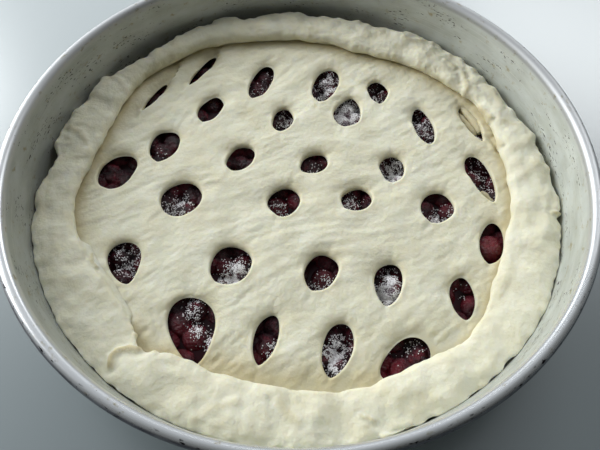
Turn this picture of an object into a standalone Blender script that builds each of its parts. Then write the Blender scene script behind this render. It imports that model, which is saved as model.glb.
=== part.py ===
"""A cherry pie, ready for the oven, in its own round aluminium tin.

Metres, +Z up. The origin is the middle of the tin's flat underside. Azimuths are degrees,
counted from +X towards +Y. The pie is made of a dough bowl whose edge is rolled inwards over
a thin top sheet, and of the cherries that show through the slits of that sheet.
"""

import math
import random

import bmesh
import bpy
from mathutils import Vector, noise
from mathutils.geometry import delaunay_2d_cdt

MM = 0.001
GAP = 0.3 * MM
RING_STEPS = 96

# The tin: a turned bowl with a leaning wall and a round bead for a lip.
LIP_DIAMETER = 300 * MM
TIN_HEIGHT = 51.8 * MM
TIN_SHEET = 1.5 * MM
BEAD_RADIUS = 3.2 * MM
WALL_LEAN = math.radians(10)
CORNER_RADIUS = 6 * MM
BEAD_END = math.radians(-118)

BEAD_CENTRE = (LIP_DIAMETER / 2 - BEAD_RADIUS, TIN_HEIGHT - BEAD_RADIUS)
CORNER_HEIGHT = TIN_SHEET + CORNER_RADIUS

# The dough bowl: its floor and wall, and the shoulder that the top sheet lies on.
FLOOR_TOP = 6.5 * MM
BOWL_RADIUS = 122 * MM
BOWL_CORNER = 4 * MM
SHOULDER_HEIGHT = 17.1 * MM
SHEET_RADIUS = 127.5 * MM
WALL_CLING_HEIGHT = 15 * MM

# The rolled edge. A swell is (azimuth, half width in degrees, change in millimetres).
ROLL_BASE = 20.3 * MM
ROLL_INNER = 114.2 * MM
ROLL_OUTER = 138.4 * MM
ROLL_CROWN = 28.4 * MM
ROLL_SQUARENESS = 2.3
ROLL_FULLNESS = 1.12
ROLL_LUMP = 0.9 * MM
ROLL_LUMP_SIZE = 15 * MM
ROLL_ANGLES = range(-40, 201, 24)
INNER_SWELLS = [
    (28, 14, 5.6), (71, 17, -5.6), (118, 12, 4.6), (138, 15, 7.5), (190, 13, 4.6), (216, 10, -3.3),
    (234, 4, 4.9), (251, 11, -2), (284, 8, 2.4), (311, 12, 4.9), (340, 12, -2.3),
]
OUTER_SWELLS = [
    (25, 26, -2.5), (66, 12, -2.5), (78, 12, -5), (96, 8, -2.5), (105, 4, -5), (111, 3, 3),
    (134, 15, -5), (148, 4, 3), (176, 5, -4), (215, 28, 2.4), (268, 36, 2.4), (320, 26, 2.4),
]
CROWN_SWELLS = [
    (30, 9, -1), (62, 10, 0.6), (120, 12, 0.5), (180, 12, -0.8), (239, 7, 0.8), (258, 12, 0.6),
    (281, 5, -1.8), (300, 8, 0.8), (335, 14, -0.7),
]

# The end of the roll lies over its flattened start: azimuth, step, sharpness and fade in degrees.
ROLL_END_AZIMUTH = 231
ROLL_END_STEP = 3.8 * MM
ROLL_END_SHARPNESS = 1.3
ROLL_END_FADE = 24

# The top sheet, highest in the middle and level where the roll lies on it.
SHEET_UNDERSIDE = 17.4 * MM
SHEET_EDGE_TOP = 20 * MM
SHEET_RISE = 1.4 * MM
SHEET_LEVEL_RADIUS = 107 * MM
SHEET_STEEPNESS = 1.6
SHEET_LUMP = 0.5 * MM
SHEET_LUMP_SIZE = 26 * MM
SHEET_LUMP_ONSET = 3
SHEET_EDGE_STEPS = 72
SHEET_GRID = 12 * MM
SLIT_LIP_DROP = 1.1 * MM
SLIT_LIP_WIDTH = 3 * MM
SLIT_STEPS = 14

# Slits, far row first: x, y, width, length in millimetres, lean in degrees from +Y to +X,
# and how much narrower the near end is than the far end.
SLITS = [
    (-87, 66, 5, 26, 26, 0.0), (-60, 89, 6, 29, 28, 0.0), (-23, 79, 13, 30, 18, 0.0),
    (16.5, 76, 15, 30.5, 17, 0.1), (48.5, 70.5, 12.5, 19, 0, 0.15),
    (-52.5, 56, 13.5, 22.5, 19, 0.0), (-9, 47.5, 12.5, 20, 6, -0.1),
    (29.5, 54, 16, 24.5, 12, -0.2), (73.5, 43.5, 12, 28, -8, 0.0), (102, 46, 8, 29, -18, 0.1),
    (-100.5, 9.5, 19, 26, 33, 0.0), (-76.5, 28, 17, 23.5, 11, 0.0),
    (-32.5, 18.5, 15, 20, 25, 0.0), (9, 15, 14, 17, 51, 0.0), (52.5, 11.5, 14, 19.5, 5, 0.1),
    (101.5, 6, 12.5, 33, -14, 0.2), (-63, -9, 22, 23.5, 45, 0.0), (-7.5, -11, 17.5, 20, 18, 0.0),
    (31.5, -9.5, 15.5, 17.5, 50, 0.0), (74.5, -14, 17.5, 21, 28, 0.0),
    (-87.5, -48, 16.5, 25, -15, 0.3), (-34, -49.5, 21.5, 22.5, 38, 0.1),
    (11.5, -53.5, 16.5, 22, 23, 0.1), (45, -59.5, 14, 24, 11, 0.15),
    (100.5, -35.5, 12.5, 25.5, 16, 0.0), (81, -66.5, 12, 23, 0, 0.0),
    (-50, -84, 21.5, 35, -10, 0.35), (-15, -88.5, 11, 26, 13, 0.15),
    (18.5, -93.5, 14, 27, 16, 0.2), (49.5, -98, 15.5, 28, 55, 0.3),
]

# The filling: a bed of juice with the cherries that the slits show.
BED_TOP = 13 * MM
BED_STEPS = 48
CHERRY_RADII = (6 * MM, 7.3 * MM)
CHERRY_FLATNESS = 0.88
CHERRY_SPACING = 11.6 * MM
CHERRY_MARGIN = 2 * MM
CHERRY_SINK = 1.4 * MM
CHERRY_FOOT = 8.5 * MM
CHERRY_SEGMENTS = 8
CHERRY_RINGS = 6
CHERRY_TRIES = 60
CHERRY_SEED = 11

COLOURS = {
    "baking_tin": ((0.55, 0.57, 0.53), 0.38, 1.0),
    "base_dough": ((0.76, 0.72, 0.55), 0.6, 0.0),
    "top_dough": ((0.78, 0.75, 0.58), 0.58, 0.0),
    "cherry_filling": ((0.055, 0.006, 0.012), 0.15, 0.0),
}


def clear_scene():
    for item in list(bpy.data.objects):
        bpy.data.objects.remove(item, do_unlink=True)


def make_material(name):
    colour, roughness, metallic = COLOURS[name]
    material = bpy.data.materials.new(name)
    material.use_nodes = True
    shader = material.node_tree.nodes["Principled BSDF"]
    shader.inputs["Base Color"].default_value = (*colour, 1)
    shader.inputs["Roughness"].default_value = roughness
    shader.inputs["Metallic"].default_value = metallic
    return material


def add_object(name, mesh, collection):
    item = bpy.data.objects.new(name, mesh)
    collection.objects.link(item)
    return item


def add_part(name, mesh, collection):
    """An object with its own material, shaded smooth except at its sharp edges."""
    mesh.materials.clear()
    mesh.materials.append(make_material(name))
    mesh.shade_smooth()
    mesh.set_sharp_from_angle(angle=math.radians(50))
    return add_object(name, mesh, collection)


def mesh_from(bm, name):
    bmesh.ops.recalc_face_normals(bm, faces=bm.faces)
    mesh = bpy.data.meshes.new(name)
    bm.to_mesh(mesh)
    bm.free()
    return mesh


def evaluated_mesh(item):
    depsgraph = bpy.context.evaluated_depsgraph_get()
    return bpy.data.meshes.new_from_object(item.evaluated_get(depsgraph))


def arc(centre, radius, start, end, steps):
    """Points of an arc in the profile's plane, from one angle to another."""
    angles = [start + (end - start) * step / steps for step in range(steps + 1)]
    return [(centre[0] + radius * math.cos(a), centre[1] + radius * math.sin(a)) for a in angles]


def smooth_step(value):
    value = min(max(value, 0), 1)
    return value * value * (3 - 2 * value)


def swell(azimuth, swells):
    """Sum of rounded swells along the ring at one azimuth."""
    total = 0
    for middle, half_width, change in swells:
        apart = (azimuth - middle + 180) % 360 - 180
        total += change * MM * math.exp(-((apart / half_width) ** 2))
    return total


def tin_inside(height):
    """Radius of the tin's inner wall at a height."""
    return BEAD_CENTRE[0] - BEAD_RADIUS - (BEAD_CENTRE[1] - height) * math.tan(WALL_LEAN)


def corner_centre():
    return (tin_inside(CORNER_HEIGHT) - CORNER_RADIUS / math.cos(WALL_LEAN), CORNER_HEIGHT)


def make_tin(collection):
    """One turned profile: floor, inner wall, over the bead, and down the outside."""
    down = math.radians(-90)
    inner_corner = arc(corner_centre(), CORNER_RADIUS, down, -WALL_LEAN, 2)
    bead = arc(BEAD_CENTRE, BEAD_RADIUS, math.pi, BEAD_END, 6)
    outer_corner = arc(corner_centre(), CORNER_RADIUS + TIN_SHEET, -WALL_LEAN, down, 2)
    profile = [(0, TIN_SHEET), *inner_corner, *bead, *outer_corner, (0, 0)]
    mesh = bpy.data.meshes.new("baking_tin")
    edges = [(index, index + 1) for index in range(len(profile) - 1)]
    mesh.from_pydata([(radius, 0, height) for radius, height in profile], edges, [])
    tin = add_object("baking_tin_profile", mesh, collection)
    screw = tin.modifiers.new("turn", "SCREW")
    screw.steps = RING_STEPS
    screw.render_steps = RING_STEPS
    screw.use_merge_vertices = True
    screw.merge_threshold = 0.00001
    turned = evaluated_mesh(tin)
    bpy.data.objects.remove(tin, do_unlink=True)
    return add_part("baking_tin", turned, collection)


def end_step(azimuth):
    """How much lower the roll's flattened start is than the end that lies over it."""
    before = ROLL_END_AZIMUTH - azimuth
    side = 1 / (1 + math.exp(max(-before, -ROLL_END_FADE) / ROLL_END_SHARPNESS))
    return ROLL_END_STEP * side * math.exp(-((before / ROLL_END_FADE) ** 2))


def roll_section(azimuth):
    """The rolled edge at one azimuth: a squashed, lumpy round that overhangs the top sheet."""
    inner = ROLL_INNER + swell(azimuth, INNER_SWELLS)
    outer = ROLL_OUTER + swell(azimuth, OUTER_SWELLS)
    crown = ROLL_CROWN + swell(azimuth, CROWN_SWELLS) - end_step(azimuth)
    middle = (inner + outer) / 2
    half_width = (outer - inner) / 2
    half_height = (crown - ROLL_BASE) / 2 * ROLL_FULLNESS
    power = 2 / ROLL_SQUARENESS
    turn = math.radians(azimuth)
    points = []
    for angle in ROLL_ANGLES:
        reach = math.cos(math.radians(angle))
        lift = math.sin(math.radians(angle))
        radius = middle - math.copysign(abs(reach) ** power, reach) * half_width
        height = crown - half_height + math.copysign(abs(lift) ** power, lift) * half_height
        place = Vector((radius * math.cos(turn), radius * math.sin(turn), height))
        lump = ROLL_LUMP * noise.noise(place / ROLL_LUMP_SIZE)
        points.append((radius - lump * reach, max(height + lump * lift, ROLL_BASE)))
    return points


def bowl_section(azimuth):
    """The dough bowl at one azimuth, from the middle of its floor round to its underside."""
    corner = arc(corner_centre(), CORNER_RADIUS - GAP, -WALL_LEAN, math.radians(-90), 2)
    inside = [
        (0, FLOOR_TOP), (BOWL_RADIUS - BOWL_CORNER, FLOOR_TOP),
        (BOWL_RADIUS, FLOOR_TOP + BOWL_CORNER), (BOWL_RADIUS, SHOULDER_HEIGHT),
        (SHEET_RADIUS + GAP, SHOULDER_HEIGHT), (SHEET_RADIUS + GAP, ROLL_BASE),
    ]
    cling = (tin_inside(WALL_CLING_HEIGHT) - GAP, WALL_CLING_HEIGHT)
    underside = (0, corner[-1][1])
    section = [*inside, *roll_section(azimuth), cling, *corner, underside]
    return [(min(radius, tin_inside(height) - GAP), height) for radius, height in section]


def make_base_dough(collection):
    """A loft of the bowl's section round the ring, closed on the axis."""
    bm = bmesh.new()
    rings = []
    for step in range(RING_STEPS):
        azimuth = 360 * step / RING_STEPS
        section = bowl_section(azimuth)
        turn = math.radians(azimuth)
        ring = []
        for index, (radius, height) in enumerate(section):
            on_axis = index in (0, len(section) - 1)
            if on_axis and rings:
                ring.append(rings[0][index])
            else:
                place = (radius * math.cos(turn), radius * math.sin(turn), height)
                ring.append(bm.verts.new(place))
        rings.append(ring)
    for step, ring in enumerate(rings):
        following = rings[(step + 1) % RING_STEPS]
        for index in range(len(ring) - 1):
            corners = [ring[index], following[index], following[index + 1], ring[index + 1]]
            bm.faces.new(list(dict.fromkeys(corners)))
    return add_part("base_dough", mesh_from(bm, "base_dough"), collection)


def slit_outline(slit, steps, grow=0.0):
    """A rounded drop shape, grown evenly by a width when asked."""
    x, y, width, length, lean, taper = slit
    turn = math.radians(lean)
    points = []
    for step in range(steps):
        angle = 2 * math.pi * step / steps
        along = (length * MM / 2 + grow) * math.cos(angle)
        across = (width * MM / 2 * (1 + taper * math.cos(angle)) + grow) * math.sin(angle)
        points.append((
            x * MM + along * math.sin(turn) + across * math.cos(turn),
            y * MM + along * math.cos(turn) - across * math.sin(turn),
        ))
    return points


def inside_slit(x, y, slit, grow=0.0):
    """Whether a point lies in a slit, or within a margin of it."""
    turn = math.radians(slit[4])
    east = x - slit[0] * MM
    north = y - slit[1] * MM
    along = (east * math.sin(turn) + north * math.cos(turn)) / (slit[3] * MM / 2 + grow)
    half_width = slit[2] * MM / 2 * (1 + slit[5] * max(-1, min(1, along))) + grow
    across = (east * math.cos(turn) - north * math.sin(turn)) / half_width
    return along * along + across * across < 1


def sheet_height(x, y):
    """Top of the sheet: a soft rise with lumps, level where the roll covers it."""
    inward = smooth_step(1 - math.hypot(x, y) / SHEET_LEVEL_RADIUS)
    lump = noise.noise(Vector((x, y, 0)) / SHEET_LUMP_SIZE)
    ease = min(1, SHEET_LUMP_ONSET * inward)
    rise = SHEET_RISE * smooth_step(SHEET_STEEPNESS * inward)
    return SHEET_EDGE_TOP + rise + SHEET_LUMP * lump * ease


def sheet_points():
    """Points of the sheet's top: its edge, two loops round each slit, and a loose grid."""
    points = []
    loops = []

    def add_loop(loop, drop):
        loops.append(range(len(points), len(points) + len(loop)))
        for x, y in loop:
            points.append((x, y, sheet_height(x, y) - drop))

    edge_angles = [2 * math.pi * step / SHEET_EDGE_STEPS for step in range(SHEET_EDGE_STEPS)]
    add_loop([(SHEET_RADIUS * math.cos(a), SHEET_RADIUS * math.sin(a)) for a in edge_angles], 0)
    for slit in SLITS:
        add_loop(slit_outline(slit, SLIT_STEPS), SLIT_LIP_DROP)
        add_loop(slit_outline(slit, SLIT_STEPS, SLIT_LIP_WIDTH), 0)
    rows = int(SHEET_RADIUS / SHEET_GRID) + 1
    for row in range(-rows, rows + 1):
        for column in range(-rows, rows + 1):
            x = (column + row % 2 / 2) * SHEET_GRID
            y = row * SHEET_GRID * math.sin(math.radians(60))
            clear = all(not inside_slit(x, y, slit, 2 * SLIT_LIP_WIDTH) for slit in SLITS)
            if clear and math.hypot(x, y) < SHEET_RADIUS - SHEET_GRID / 2:
                points.append((x, y, sheet_height(x, y)))
    return points, loops


def make_top_dough(collection):
    """The slit sheet: a triangulated top, extruded down to a flat underside."""
    points, loops = sheet_points()
    edges = []
    for loop in loops:
        edges.extend((loop[step - 1], loop[step]) for step in range(len(loop)))
    flat = [Vector(point[:2]) for point in points]
    corners, _, faces, origins, _, _ = delaunay_2d_cdt(flat, edges, [], 0, 1e-7)
    bm = bmesh.new()
    heights = [points[origin[0]][2] if origin else SHEET_EDGE_TOP for origin in origins]
    verts = [bm.verts.new((*corner, height)) for corner, height in zip(corners, heights)]
    for face in faces:
        x = sum(corners[index].x for index in face) / 3
        y = sum(corners[index].y for index in face) / 3
        if not any(inside_slit(x, y, slit) for slit in SLITS):
            bm.faces.new([verts[index] for index in face])
    loose = [vert for vert in bm.verts if not vert.link_faces]
    bmesh.ops.delete(bm, geom=loose, context="VERTS")
    top = list(bm.faces)
    extruded = bmesh.ops.extrude_face_region(bm, geom=top, use_keep_orig=True)
    for item in extruded["geom"]:
        if isinstance(item, bmesh.types.BMVert):
            item.co.z = SHEET_UNDERSIDE
    return add_part("top_dough", mesh_from(bm, "top_dough"), collection)


def cherry_places():
    """Cherries under each slit, dropped at random but kept apart: x, y, top and radius."""
    draw = random.Random(CHERRY_SEED)
    places = []
    for slit in SLITS:
        reach = max(slit[2], slit[3]) * MM / 2
        for _ in range(CHERRY_TRIES):
            x = slit[0] * MM + draw.uniform(-reach, reach)
            y = slit[1] * MM + draw.uniform(-reach, reach)
            radius = draw.uniform(*CHERRY_RADII)
            top = SHEET_UNDERSIDE - GAP - draw.uniform(0, CHERRY_SINK)
            apart = all(math.hypot(x - other[0], y - other[1]) > CHERRY_SPACING for other in places)
            fits = math.hypot(x, y) + radius < BOWL_RADIUS - GAP
            if apart and fits and inside_slit(x, y, slit, CHERRY_MARGIN):
                places.append((x, y, top, radius))
    return places


def make_bed():
    """The juice bed: a low round block with a slanted lower edge."""
    bm = bmesh.new()
    lower_radius = BOWL_RADIUS - BOWL_CORNER - GAP
    upper_radius = BOWL_RADIUS - 2 * GAP
    slant = BOWL_CORNER
    made = bmesh.ops.create_cone(
        bm, cap_ends=True, segments=BED_STEPS, radius1=lower_radius, radius2=upper_radius, depth=slant
    )
    bottom = FLOOR_TOP + GAP
    bmesh.ops.translate(bm, verts=made["verts"], vec=(0, 0, bottom + slant / 2))
    lid = max(bm.faces, key=lambda face: face.calc_center_median().z)
    raised = bmesh.ops.extrude_discrete_faces(bm, faces=[lid])
    for vert in raised["faces"][0].verts:
        vert.co.z = BED_TOP
    return mesh_from(bm, "cherry_filling")


def make_cherry(place, collection):
    x, y, top, radius = place
    bm = bmesh.new()
    bmesh.ops.create_uvsphere(
        bm, u_segments=CHERRY_SEGMENTS, v_segments=CHERRY_RINGS, radius=radius
    )
    bmesh.ops.scale(bm, verts=bm.verts, vec=(1, 1, CHERRY_FLATNESS))
    bmesh.ops.translate(bm, verts=bm.verts, vec=(x, y, top - radius * CHERRY_FLATNESS))
    for vert in bm.verts:
        vert.co.z = max(vert.co.z, CHERRY_FOOT)
    return add_object("cherry", mesh_from(bm, "cherry"), collection)


def make_filling(collection):
    """One body: the juice bed with its cherries joined on."""
    cherries = bpy.data.collections.new("cherries")
    bpy.context.scene.collection.children.link(cherries)
    for place in cherry_places():
        make_cherry(place, cherries)
    bed = add_object("juice_bed", make_bed(), collection)
    union = bed.modifiers.new("join", "BOOLEAN")
    union.operation = "UNION"
    union.operand_type = "COLLECTION"
    union.collection = cherries
    joined = evaluated_mesh(bed)
    for item in [bed, *cherries.objects]:
        bpy.data.objects.remove(item, do_unlink=True)
    bpy.data.collections.remove(cherries)
    return add_part("cherry_filling", joined, collection)


def main():
    clear_scene()
    collection = bpy.data.collections.new("cherry_pie")
    bpy.context.scene.collection.children.link(collection)
    make_tin(collection)
    make_base_dough(collection)
    make_top_dough(collection)
    make_filling(collection)


main()
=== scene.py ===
"""Looks of a cherry pie before baking, in its own used aluminium tin.

Metres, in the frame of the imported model: the origin is the middle of the tin's underside.
The dough, the filling and the tin are remade here from the same named sizes as the solids,
with the lips, folds, creases, single cherries, juice and sugar that the solids leave out.
"""

import math
import random

import bmesh
import bpy
import numpy as np
from mathutils import Matrix, Vector, noise
from mathutils.bvhtree import BVHTree
from mathutils.geometry import delaunay_2d_cdt


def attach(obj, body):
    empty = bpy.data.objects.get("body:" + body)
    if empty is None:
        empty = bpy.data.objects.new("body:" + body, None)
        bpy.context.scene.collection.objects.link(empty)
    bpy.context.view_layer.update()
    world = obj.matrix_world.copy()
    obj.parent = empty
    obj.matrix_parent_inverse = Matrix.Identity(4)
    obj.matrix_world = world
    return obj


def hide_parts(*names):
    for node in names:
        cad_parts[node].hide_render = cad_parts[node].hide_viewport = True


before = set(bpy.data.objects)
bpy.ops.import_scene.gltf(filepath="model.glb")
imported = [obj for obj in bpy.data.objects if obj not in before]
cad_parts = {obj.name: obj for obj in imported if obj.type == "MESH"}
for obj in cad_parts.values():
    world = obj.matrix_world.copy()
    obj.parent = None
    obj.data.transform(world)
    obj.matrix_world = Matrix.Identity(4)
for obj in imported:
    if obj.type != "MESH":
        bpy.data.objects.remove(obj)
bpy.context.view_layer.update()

MM = 0.001

# Camera, found from the ellipses of the lip and of the dough's edge. The image is 600 by 450.
CAMERA_PLACE = Vector((0, -0.1928, 0.2861))
CAMERA_PITCH = math.radians(57.89)
CAMERA_YAW = math.radians(-0.39)
CAMERA_ROLL = math.radians(0.56)
CAMERA_LENS = 36
CAMERA_SENSOR = 36

# The room is brightest towards the windows, beyond the pie on the left.
ROOM_BRIGHT_SIDE = (-0.30, 0.88, 0.37)
ROOM_SPREAD = (-0.7, 1.0)
ROOM_TONES = [(0.0, (0.03, 0.03, 0.025)), (0.5, (0.36, 0.38, 0.38)), (1.0, (1.0, 1.07, 1.14))]
ROOM_STRENGTH = 0.5

# Windows: name, place, target and size in metres, power in watts and colour.
WINDOWS = [
    ("window", (-1.25, 0.60, 0.66), (0, 0, 0.02), (1.2, 0.8), 24, (0.97, 0.99, 1.0)),
    ("far_window", (0.98, 1.5, 1.25), (0.1, 0.1, 0.0), (1.1, 0.65), 13, (0.97, 0.99, 1.0)),
    ("far_left_window", (-0.86, 1.5, 1.08), (-0.2, 0.2, 0.0), (1.2, 0.7), 6.3, (0.95, 0.99, 1.0)),
]

# The table under the tin.
TABLE_REACH = 2.5
TABLE_COLOUR = (0.225, 0.27, 0.283)
TABLE_ROUGHNESS = 0.30
TABLE_IOR = 1.7

# The tin.
LIP_DIAMETER = 300 * MM
TIN_HEIGHT = 51.8 * MM
TIN_SHEET = 1.5 * MM
BEAD_RADIUS = 3.2 * MM
WALL_LEAN = math.radians(10)
CORNER_RADIUS = 6 * MM
BEAD_END = math.radians(-118)
BEAD_CENTRE = (LIP_DIAMETER / 2 - BEAD_RADIUS, TIN_HEIGHT - BEAD_RADIUS)
CORNER_HEIGHT = TIN_SHEET + CORNER_RADIUS
TIN_STEPS = 540
PROFILE_START = 20 * MM

# Lengths along the tin's profile, from near its middle: the bead, its nicks, and its grime with
# painted shade on its outer edge.
BEAD_START_LENGTH = 160.5 * MM
BEAD_NICK_LENGTH = 167.4 * MM
BEAD_GRIME_AND_SHADE_LENGTH = 169.0 * MM
BEAD_END_LENGTH = 178 * MM

# Round the tin, from 0 at the right, by 0.25 at the far side, to 1: painted light and shade on the
# wall and the bead, the share of grime and painted shade on the bead, and how rough the bead is.
WALL_LIGHT_AND_SHADE = [
    (0.0, 1.25), (0.12, 1.15), (0.24, 0.78), (0.45, 0.74),
    (0.56, 0.85), (0.7, 0.95), (0.85, 1.05), (1.0, 1.25),
]
BEAD_LIGHT_AND_SHADE = [
    (0.0, 0.8), (0.06, 0.66), (0.25, 0.66), (0.5, 0.75), (0.56, 1.0), (0.92, 1.05), (1.0, 0.8),
]
GRIME_AND_SHADE_SHARES = [(0.0, 0.6), (0.1, 0.4), (0.45, 0.4), (0.58, 1.0), (0.9, 1.0), (1.0, 0.6)]
BEAD_ROUGHNESSES = [
    (0.0, 0.5), (0.06, 0.62), (0.45, 0.62), (0.56, 0.32), (0.7, 0.26), (0.92, 0.26), (1.0, 0.5),
]

# Noise on the tin: size round it and up its profile in mm, and detail. For marks, also between
# which levels of the noise they show.
TIN_LINES = (60, 0.6, 3.0)
TIN_BLOOM = (26, 9, 6.0)
TIN_GRIME_AND_SHADE = (14, 3, 4.0)
TIN_STAINS = (7, 4, 4.0, 0.58, 0.75)
TIN_PITS = (3.2, 0.8, 2.0, 0.60, 0.63)
TIN_PIT_ROWS = (38, 9, 2.0, 0.53, 0.60)
TIN_SPECKS = (1.7, 1.5, 2.0, 0.72, 0.75)
TIN_NICKS = (4, 1.6, 5.0, 0.60, 0.63)
TIN_TONES = [(0.3, (0.465, 0.485, 0.45)), (0.5, (0.55, 0.575, 0.555)), (0.72, (0.64, 0.67, 0.665))]
TIN_STREAK = (0.66, 0.67, 0.64)
TIN_STREAK_LEVELS = (0.52, 0.75)
TIN_ROUGHNESSES = [(0.3, 0.44), (0.7, 0.56)]
GRIME_AND_SHADE_TONES = [(0.3, 0.6), (0.6, 0.95)]
BEAD_COLOUR = (0.70, 0.71, 0.72)
STAIN_COLOUR = (0.40, 0.36, 0.24)
PIT_COLOUR = (0.05, 0.04, 0.035)
SPECK_COLOUR = (0.07, 0.05, 0.035)
GRIME_AND_SHADE_COLOUR = (0.09, 0.08, 0.10)
NICK_COLOUR = (0.02, 0.018, 0.025)

# Colours of the dough, from its darker to its lighter blotches, and the yellow-brown painted shade
# for its hollows.
DOUGH_TONES = [(0.3, (0.73, 0.69, 0.51)), (0.5, (0.785, 0.757, 0.59)), (0.7, (0.82, 0.80, 0.65))]
DOUGH_SHADE_COLOUR = (0.55, 0.46, 0.25)
PAINTED_SHADE_STRENGTH = 0.7
DOUGH_ROUGHNESSES = [(0.3, 0.5), (0.7, 0.72)]

# The dough bowl and its rolled edge. A swell is (azimuth, half width in degrees, change in mm).
GAP = 0.3 * MM
FLOOR_TOP = 6.5 * MM
BOWL_RADIUS = 122 * MM
BOWL_CORNER = 4 * MM
SHOULDER_HEIGHT = 17.1 * MM
SHEET_RADIUS = 127.5 * MM
WALL_CLING_HEIGHT = 15 * MM
ROLL_BASE = 20.3 * MM
ROLL_FOOT = 19.2 * MM
ROLL_INNER = 114.2 * MM
ROLL_OUTER = 138.4 * MM
ROLL_CROWN = 28.4 * MM
ROLL_SQUARENESS = 2.3
ROLL_FULLNESS = 1.12
ROLL_LUMP = 1.0 * MM
ROLL_LUMP_SIZE = 15 * MM
ROLL_STEPS = 900
ROLL_ANGLES = np.linspace(-50, 205, 52)
INNER_SWELLS = [
    (28, 14, 5.6), (71, 17, -5.6), (118, 12, 4.6), (138, 15, 7.5), (190, 13, 4.6), (216, 10, -3.3),
    (234, 4, 4.9), (251, 11, -2), (284, 8, 2.4), (311, 12, 4.9), (340, 12, -2.3),
]
OUTER_SWELLS = [
    (25, 26, -2.5), (66, 12, -2.5), (78, 12, -5), (96, 8, -2.5), (105, 4, -5), (111, 3, 3),
    (134, 15, -5), (148, 4, 3), (176, 5, -4), (215, 28, 2.4), (268, 36, 2.4), (320, 26, 2.4),
]
CROWN_SWELLS = [
    (30, 9, -1), (62, 10, 0.6), (120, 12, 0.5), (180, 12, -0.8), (239, 7, 0.8), (258, 12, 0.6),
    (281, 5, -1.8), (300, 8, 0.8), (335, 14, -0.7),
]

# Relief of the roll: height and size of its features in mm, and a shift of the noise.
ROLL_LUMPS = (1.3, 13, 2.2)
ROLL_KNOBS = (0.7, 6.5, 9.4)
ROLL_STRETCH = (0.42, (12, 3.5, 3.5), 5.1)
ROLL_GRAIN = (0.22, 2.4, 7.7)
ROLL_RIDGES = (1, 7.5, 31.7)
ROLL_PIT_DEPTH = 0.55
ROLL_PIT_WIDTH = 0.25
ROLL_FRINGE = (1.6, 5, 12.3)
ROLL_FRINGE_REACH = 6 * MM
ROLL_RELIEF_EASE = 2 * MM
ROLL_RELIEF_REACH = 14 * MM

# The end of the roll lies over its flattened start: azimuth, step, how sharp and how far it fades.
ROLL_END_AZIMUTH = 231
ROLL_END_STEP = 3.8 * MM
ROLL_END_SHARPNESS = 1.3
ROLL_END_FADE = 24

# How crumpled the roll is, and how far its inner side runs out flat over the sheet: swells.
ROLL_CRUMPLES = [
    (38, 14, 0.35), (62, 10, 0.2), (308, 9, 0.3), (167, 16, 0.2), (150, 6, 0.3), (215, 10, 0.25),
]
ROLL_SKIRTS = [(300, 50, 1.2), (0, 50, 1.5), (100, 50, 0.6), (178, 12, 0.6)]
SKIRT_POWER = 3

# Between these azimuths the roll runs out into the sheet with no edge between them.
BLEND_START = 198
BLEND_END = 226
BLEND_EASE = 5
BLEND_SKIRT = 7 * MM
SKIRT_TOP = 0.55

# Shade painted at the roll's foot, as shares that fade upwards, and in its creases. The foot is
# paler round one azimuth: azimuth, half width in degrees and share.
FOOT_SHADES = [(0.5, 4 * MM), (0.5, 1.2 * MM)]
FOOT_STRENGTH = 0.75
PALE_FOOT = (27, 12, 0.5)
CREASE_SHADE_DEPTH = 1.2 * MM
TOE_FADE = 2.5 * MM

# Folds and nicks of the dough: depth and half width in mm, then the points of the line in mm.
ROLL_CREASES = [
    (0.9, 0.9, [(-104, -44), (-103, -49), (-100, -52)]),
    (0.4, 1.2, [(-99, -52), (-90, -59), (-82, -69), (-78, -79)]),
    (0.8, 1.0, [(-75, -88), (-71, -90), (-68, -93), (-64, -98)]),
    (1.6, 1.5, [(-83, -104), (-83, -100), (-81, -97), (-76, -96), (-72, -97)]),
    (0.9, 0.8, [(27, -126), (31, -127), (33, -128)]),
    (0.8, 0.8, [(36, -134), (41, -134), (45, -133)]),
    (1.1, 0.9, [(132, -22), (137, -22)]),
    (0.9, 1.0, [(90, 89), (92, 87), (95, 83)]),
    (0.7, 1.4, [(100, 79), (100, 73), (101, 68), (98, 61)]),
    (1.1, 1.2, [(102, 59), (107, 53), (111, 44)]),
    (0.7, 1.0, [(108, 35), (111, 33), (114, 24)]),
    (0.5, 1.8, [(-8, -120), (-5, -125), (0, -129)]),
    (0.5, 1.8, [(-43, -128), (-36, -123), (-26, -121)]),
    (0.5, 1.8, [(112, 68), (117, 60), (118, 52)]),
    (0.35, 2.0, [(118, 40), (124, 38), (129, 38)]),
    (0.35, 2.2, [(120, 20), (127, 24), (131, 27)]),
    (0.3, 2.2, [(121, 2), (128, 8), (132, 12)]),
    (0.6, 1.4, [(66, 108), (72, 106), (79, 107)]),
    (0.5, 1.6, [(-112, 74), (-106, 70), (-101, 63)]),
    (0.5, 1.6, [(-128, 33), (-122, 30), (-118, 24)]),
]
SHEET_CREASES = [
    (0.5, 1.1, [(-71, -84), (-75, -88), (-80, -93)]),
    (0.2, 0.9, [(-41, -105), (-35, -95), (-26, -88)]),
    (0.9, 1.2, [(108, 35), (111, 33), (114, 24)]),
    (0.3, 0.9, [(-70, -75), (-66, -86), (-63, -96)]),
    (0.2, 1.4, [(-44, -102), (-37, -94), (-30, -86)]),
    (0.15, 1.2, [(-38, -106), (-31, -99), (-25, -94)]),
    (0.2, 1.2, [(-66, -92), (-62, -100), (-60, -106)]),
    (0.3, 1.0, [(-30, -72), (-24, -66), (-14, -60)]),
    (0.25, 0.9, [(-28, -68), (-20, -61), (-12, -57)]),
]

# Torn lips, where the cut dough on the far side lies lower: depth and fade in mm, then the line.
SHEET_STEPS = [
    (2.6, 5, [(-93, 53), (-88, 60), (-84, 68), (-80, 77), (-76, 86), (-74, 95)]),
    (2.6, 5, [(-67, 75), (-61, 82), (-56, 89), (-52, 98), (-50, 107)]),
]

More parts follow.
